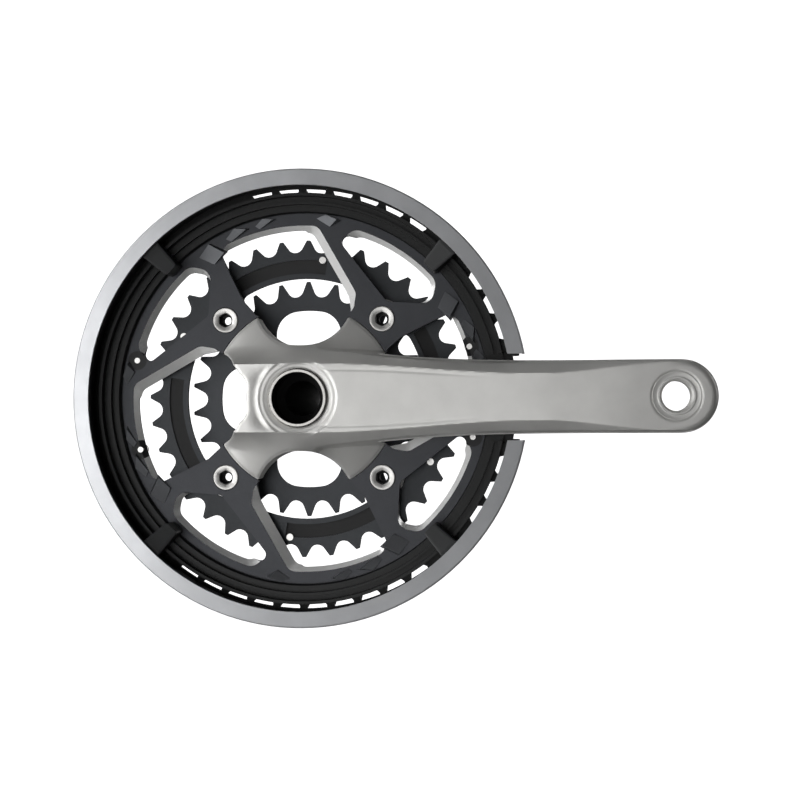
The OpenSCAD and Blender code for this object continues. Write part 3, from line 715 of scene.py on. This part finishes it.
LOOKS = {
    "arm_silver": dict(base=(0.70, 0.695, 0.675), metallic=0.55, roughness=0.45, grain=1400, bump=0.08),
    "axle_steel": dict(base=(0.50, 0.49, 0.47), metallic=1.0, roughness=0.3, grain=900),
    "ring_anthracite": dict(base=(0.050, 0.052, 0.058), metallic=0.6, roughness=0.42, grain=1500),
    "ring_pads": dict(base=(0.11, 0.114, 0.122), metallic=0.5, roughness=0.45, grain=1500),
    "middle_ring_dark": dict(base=(0.040, 0.043, 0.047), metallic=0.6, roughness=0.42, grain=1500),
    "inner_ring_dark": dict(base=(0.045, 0.048, 0.053), metallic=0.6, roughness=0.40, grain=1500),
    "bolt_steel": dict(base=(0.66, 0.65, 0.63), metallic=0.85, roughness=0.34, grain=900, bump=0.005,
                       spread=0.02, rough_spread=0.02),
    "nut_steel": dict(base=(0.55, 0.55, 0.54), metallic=1.0, roughness=0.35, grain=900),
    "pin_steel": dict(base=(0.78, 0.77, 0.75), metallic=1.0, roughness=0.3, grain=900),
    "guard_black": dict(base=(0.007, 0.0075, 0.0075), metallic=0.0, roughness=0.42, grain=2600, bump=0.15,
                        specular=0.35),
    "band_silver": dict(base=(0.66, 0.67, 0.69), metallic=0.35, roughness=0.5, grain=2000, bump=0.05),
    "screw_steel": dict(base=(0.45, 0.45, 0.44), metallic=1.0, roughness=0.35, grain=900),
    "cup_dark": dict(base=(0.06, 0.062, 0.068), metallic=0.8, roughness=0.4, grain=1500),
    "spacer_grey": dict(base=(0.45, 0.45, 0.45), metallic=1.0, roughness=0.4, grain=1200),
    "sleeve_black": dict(base=(0.02, 0.02, 0.021), metallic=0.0, roughness=0.5, grain=2000, bump=0.1),
    "seal_rubber": dict(base=(0.018, 0.018, 0.019), metallic=0.0, roughness=0.65, grain=2500, bump=0.12),
    "race_steel": dict(base=(0.60, 0.60, 0.59), metallic=1.0, roughness=0.22, grain=900),
    "ball_steel": dict(base=(0.80, 0.80, 0.80), metallic=1.0, roughness=0.08, grain=900, rough_spread=0.03),
    "cage_plastic": dict(base=(0.45, 0.38, 0.25), metallic=0.0, roughness=0.5, grain=1500),
    "cover_black": dict(base=(0.02, 0.02, 0.021), metallic=0.0, roughness=0.45, grain=2000),
}
finishes = {slot: finish_material(slot, **look) for slot, look in LOOKS.items()}


# ---- Masks: where a second finish, painted shade or painted light lies over the first ---

# Painted shade: the axle's bore is painted near-black, standing in for the shade deep inside it
BORE_SHADE_R = 11.85
BORE_SHADE_FROM = -55
BORE_SHADE_TO = AXLE_FACE + 1

# Painted shade: near-black on the middle ring's pocket floors, and in a ring round each of the outer ring's
# pins
POCKET_SHADE_FROM = MIDDLE_FRONT - 1.3
POCKET_SHADE_TO = MIDDLE_FRONT - 0.5
PIN_SHADE_R = 4.6
PIN_SHADE_SOFT = 0.3

# Painted light on the ends of the guard's posts, and painted shade in each chainring bolt's socket
POST_END_R = 98.8
POST_END_SOFT = 0.3
POST_END_FROM = PLATE_FACE + 11.5
POST_END_TO = PLATE_FACE + 20
SOCKET_FROM = 30
SOCKET_TO = BOLT_FACE - 0.6

# How far the machined bevels lean, from 0 for a wall to 1 for a face
BEVEL_LEAN = (0.2, 0.97)
LEAN_SOFT_LOW = 0.02
LEAN_SOFT_HIGH = 0.01

# How far a sharp edge between two finishes reaches to each side
SHARP = 0.05


def coordinate(ns, kind):
    return ns.new("ShaderNodeTexCoord").outputs[kind]


def calculate(ns, links, operation, a, b):
    """A Math node; a and b are numbers or sockets."""
    node = ns.new("ShaderNodeMath")
    node.operation = operation
    for socket, value in zip(node.inputs, (a, b)):
        if isinstance(value, bpy.types.NodeSocket):
            links.new(value, socket)
        else:
            socket.default_value = value
    return node.outputs[0]


def from_to(ns, links, source, zero_at, one_at):
    """0 to 1 as a length goes from one value to another, both in mm."""
    span = ns.new("ShaderNodeMapRange")
    span.inputs["From Min"].default_value = zero_at * MM
    span.inputs["From Max"].default_value = one_at * MM
    links.new(source, span.inputs["Value"])
    return span.outputs["Result"]


def tilted(ns, links, low, high):
    """1 where a surface leans, 0 where it faces straight out or is an upright wall."""
    split = ns.new("ShaderNodeSeparateXYZ")
    links.new(coordinate(ns, "Normal"), split.inputs["Vector"])
    out = calculate(ns, links, "MULTIPLY", split.outputs["Y"], -1)
    return ramp(ns, links, out, [(low - LEAN_SOFT_LOW, BLACK), (low + LEAN_SOFT_LOW, WHITE),
                                 (high - LEAN_SOFT_HIGH, WHITE), (high + LEAN_SOFT_HIGH, BLACK)])


def distance(ns, links, x, z):
    """Distance from a line parallel to the axle; x and z are in mm."""
    flat = ns.new("ShaderNodeVectorMath")
    flat.operation = "MULTIPLY"
    flat.inputs[1].default_value = (1, 0, 1)
    links.new(coordinate(ns, "Object"), flat.inputs[0])
    gap = ns.new("ShaderNodeVectorMath")
    gap.operation = "DISTANCE"
    gap.inputs[1].default_value = (x * MM, 0, z * MM)
    links.new(flat.outputs["Vector"], gap.inputs[0])
    return gap.outputs["Value"]


def within_radius(ns, links, radius, soft):
    """1 inside a radius round the axle; both in mm."""
    beyond = from_to(ns, links, distance(ns, links, 0, 0), radius - soft, radius + soft)
    return calculate(ns, links, "SUBTRACT", 1, beyond)


def between(ns, links, inner, outer):
    """1 between two distances from the shell's middle along the axle, in mm."""
    split = ns.new("ShaderNodeSeparateXYZ")
    links.new(coordinate(ns, "Object"), split.inputs["Vector"])
    below_outer = from_to(ns, links, split.outputs["Y"], -outer - SHARP, -outer + SHARP)
    above_inner = from_to(ns, links, split.outputs["Y"], -inner + SHARP, -inner - SHARP)
    return calculate(ns, links, "MULTIPLY", below_outer, above_inner)


def axle_bore_shade(ns, links):
    """1 inside the axle's bore, which gets near-black painted shade."""
    inside = within_radius(ns, links, BORE_SHADE_R, SHARP)
    return calculate(ns, links, "MULTIPLY", inside, between(ns, links, BORE_SHADE_FROM, BORE_SHADE_TO))


def pocket_floor_shade(ns, links):
    """1 on the floors of the middle chainring's pockets, which get near-black painted shade."""
    return between(ns, links, POCKET_SHADE_FROM, POCKET_SHADE_TO)


def machined_bevels(ns, links):
    """1 on the outer chainring's bevels."""
    return tilted(ns, links, *BEVEL_LEAN)


def pin_recess_shade(ns, links):
    """1 in a ring round each of the outer chainring's pins, where near-black painted shade stands for the
    shade in their recesses.
    """
    r = OUTER_PIN_CIRCLE_R
    total = 0
    for angle in OUTER_PIN_ANGLES:
        a = math.radians(angle)
        gap = distance(ns, links, r * math.cos(a), r * math.sin(a))
        recess = from_to(ns, links, gap, PIN_SHADE_R, PIN_SHADE_R - PIN_SHADE_SOFT)
        total = calculate(ns, links, "MAXIMUM", total, recess)
    return total


def post_end_light(ns, links):
    """1 on the ends of the guard's posts, which are painted lighter than the guard as painted light."""
    inside = within_radius(ns, links, POST_END_R, POST_END_SOFT)
    return calculate(ns, links, "MULTIPLY", inside, between(ns, links, POST_END_FROM, POST_END_TO))


def socket_shade(ns, links):
    """1 inside each chainring bolt's socket, which gets near-black painted shade."""
    return between(ns, links, SOCKET_FROM, SOCKET_TO)


def overlay(m, mask, colour, metallic, roughness):
    """Lays a second finish, painted shade or painted light over a material where the mask is 1."""
    ns, links = m.node_tree.nodes, m.node_tree.links
    bsdf = ns["Principled BSDF"]
    amount = mask(ns, links)
    for socket, value in (("Base Color", (*colour, 1)), ("Metallic", metallic), ("Roughness", roughness)):
        old = bsdf.inputs[socket]
        node = ns.new("ShaderNodeMix")
        node.data_type = "RGBA" if old.type == "RGBA" else "FLOAT"
        first, second = [i for i in node.inputs if i.type == old.type and i.name in ("A", "B")]
        result = next(o for o in node.outputs if o.type == old.type)
        links.new(amount, node.inputs[0])
        second.default_value = value
        if old.is_linked:
            links.new(old.links[0].from_socket, first)
        else:
            first.default_value = old.default_value
        links.new(result, old)


# The machined bevels are a real second finish; the rest are painted shade, and painted light on the guard's
# posts.
SECOND_FINISHES_AND_PAINTED_SHADING = (
    # painted shade: near-black inside the axle's bore
    ("axle_steel", axle_bore_shade, dict(colour=(0.006, 0.006, 0.006), metallic=0.0, roughness=0.6)),
    # painted shade: near-black on the middle ring's pocket floors
    ("middle_ring_dark", pocket_floor_shade, dict(colour=(0.006, 0.006, 0.0065), metallic=0.0, roughness=0.6)),
    ("ring_anthracite", machined_bevels, dict(colour=(0.97, 0.97, 0.96), metallic=0.3, roughness=0.3)),
    # painted shade: near-black rings round the outer chainring's pins
    ("ring_anthracite", pin_recess_shade, dict(colour=(0.005, 0.005, 0.006), metallic=0.0, roughness=0.5)),
    # painted light: the guard's post ends are lighter than the rest of the guard
    ("guard_black", post_end_light, dict(colour=(0.02, 0.021, 0.022), metallic=0.0, roughness=0.45)),
    # painted shade: near-black inside each chainring bolt's socket
    ("bolt_steel", socket_shade, dict(colour=(0.01, 0.01, 0.01), metallic=0.3, roughness=0.5)),
)
for slot, mask, look in SECOND_FINISHES_AND_PAINTED_SHADING:
    overlay(finishes[slot], mask, **look)

for sub in frame["record"]["subparts"]:
    obj = nodes[sub["node"]]
    obj.data.materials.clear()
    obj.data.materials.append(finishes[sub["material_slot"]])
crank.data.materials.append(finishes["arm_silver"])
bolts.data.materials.append(finishes["bolt_steel"])
pads.data.materials.append(finishes["ring_pads"])


def soften(obj, width):
    """Rounds a CAD node's edges over a width in mm."""
    bevel = obj.modifiers.new("edges", "BEVEL")
    bevel.width = width * MM
    bevel.segments = 2
    bevel.limit_method = "ANGLE"
    bevel.angle_limit = math.radians(35)
    bevel.harden_normals = True


GUARD_EDGE = 0.3
for name in ("guard_carrier", "guard_band"):
    soften(nodes[name], GUARD_EDGE)


# ---- Floor, walls, light and camera -----------------------------------------------------

AIM = Vector((0.04475, -0.05632, -0.0009))
CAMERA_AZIMUTH = math.radians(5.08)
CAMERA_RISE = math.radians(-0.64)
CAMERA_ROLL = math.radians(0.23)
CAMERA_DISTANCE = 0.7724
LENS = 74.72
SENSOR = 36

FLOOR_Z = -0.60
FLOOR_HALF = 6
FLOOR_GLOW = 0.5
FLOOR_GREYS = (0.90, 0.94)
FLOOR_PATCHES = 3
ROOM = 3.2
BACKDROP_Y = 1.25
BACKDROP_RIGHT = 0.9
WALL_GAP = 0.02
WORLD_LIGHT = 0.08
LIGHT_AIM = Vector((0.03, -0.06, 0))


def add_camera():
    data = bpy.data.cameras.new("camera")
    data.lens = LENS
    data.sensor_width = SENSOR
    cam = bpy.data.objects.new("camera", data)
    bpy.context.scene.collection.objects.link(cam)
    flat = math.cos(CAMERA_RISE)
    across = math.sin(CAMERA_AZIMUTH) * flat
    outward = math.cos(CAMERA_AZIMUTH) * flat
    away = Vector((across, -outward, math.sin(CAMERA_RISE)))
    cam.location = AIM + CAMERA_DISTANCE * away
    cam.rotation_euler = (-away).to_track_quat("-Z", "Y").to_euler()
    cam.rotation_euler.rotate_axis("Z", -CAMERA_ROLL)
    bpy.context.scene.camera = cam


def area_light(name, where, size, power):
    data = bpy.data.lights.new(name, "AREA")
    data.shape = "RECTANGLE"
    data.size, data.size_y = size
    data.energy = power
    light = bpy.data.objects.new(name, data)
    light.location = where
    light.rotation_euler = (LIGHT_AIM - Vector(where)).to_track_quat("-Z", "Y").to_euler()
    bpy.context.scene.collection.objects.link(light)


def add_flat(name, outline):
    """A flat stage object; its outline's four points go round it in order."""
    mesh = bpy.data.meshes.new(name)
    mesh.from_pydata(outline, [], [(0, 1, 2, 3)])
    flat = bpy.data.objects.new(name, mesh)
    bpy.context.scene.collection.objects.link(flat)
    return flat


def glow(bsdf, strength):
    bsdf.inputs["Emission Color"].default_value = (*WHITE, 1)
    bsdf.inputs["Emission Strength"].default_value = strength


def add_floor():
    """A pale floor, hidden from diffuse and glossy rays so that it doesn't light the object."""
    half = FLOOR_HALF
    floor = add_flat("floor", [(-half, -half, FLOOR_Z), (half, -half, FLOOR_Z),
                               (half, half, FLOOR_Z), (-half, half, FLOOR_Z)])
    m, ns, links, bsdf = material("floor_paper")
    dark, light = FLOOR_GREYS
    patches = noise(ns, links, FLOOR_PATCHES, detail=3)
    links.new(varied(ns, links, patches, grey(dark), grey(light)), bsdf.inputs["Base Color"])
    bsdf.inputs["Roughness"].default_value = 0.9
    glow(bsdf, FLOOR_GLOW)
    floor.data.materials.append(m)
    floor.visible_glossy = False
    floor.visible_diffuse = False


def glowing_wall(name, start, end):
    """A white wall that gives off light and isn't mirrored, from one (x, y) to another."""
    foot = [(*start, FLOOR_Z), (*end, FLOOR_Z)]
    top = [(*end, ROOM), (*start, ROOM)]
    wall = add_flat(name, foot + top)
    m, _, _, bsdf = material(name + "_paper")
    bsdf.inputs["Base Color"].default_value = (0.9, 0.9, 0.9, 1)
    glow(bsdf, 1.0)
    wall.data.materials.append(m)
    wall.visible_glossy = False
    return wall


def add_walls():
    """A wall behind the object that lights it, and four round it that only close the room."""
    glowing_wall("backdrop", (-ROOM, BACKDROP_Y), (BACKDROP_RIGHT, BACKDROP_Y))
    far = BACKDROP_Y + WALL_GAP
    closing = (glowing_wall("wall_left", (-ROOM, -ROOM), (-ROOM, far)),
               glowing_wall("wall_near", (-ROOM, -ROOM), (ROOM, -ROOM)),
               glowing_wall("wall_right", (ROOM, -ROOM), (ROOM, far)),
               glowing_wall("wall_far", (-ROOM, far), (ROOM, far)))
    for wall in closing:
        wall.visible_diffuse = False
        wall.visible_shadow = False


def add_world():
    world = bpy.data.worlds.new("studio")
    bpy.context.scene.world = world
    world.use_nodes = True
    background = world.node_tree.nodes["Background"]
    background.inputs["Color"].default_value = (*WHITE, 1)
    background.inputs["Strength"].default_value = WORLD_LIGHT


add_world()
add_floor()
add_walls()
add_camera()
area_light("key_left", where=(-0.80, -0.62, -0.05), size=(0.7, 1.0), power=7.5)
area_light("front_soft", where=(-0.40, -1.6, -0.22), size=(0.9, 0.9), power=4.8)
area_light("back_soft", where=(-0.9, 1.0, 0.5), size=(0.8, 0.8), power=5)
area_light("back_right", where=(1.0, 1.0, 0.3), size=(0.8, 0.8), power=4)
bpy.context.scene.view_settings.view_transform = "Standard"
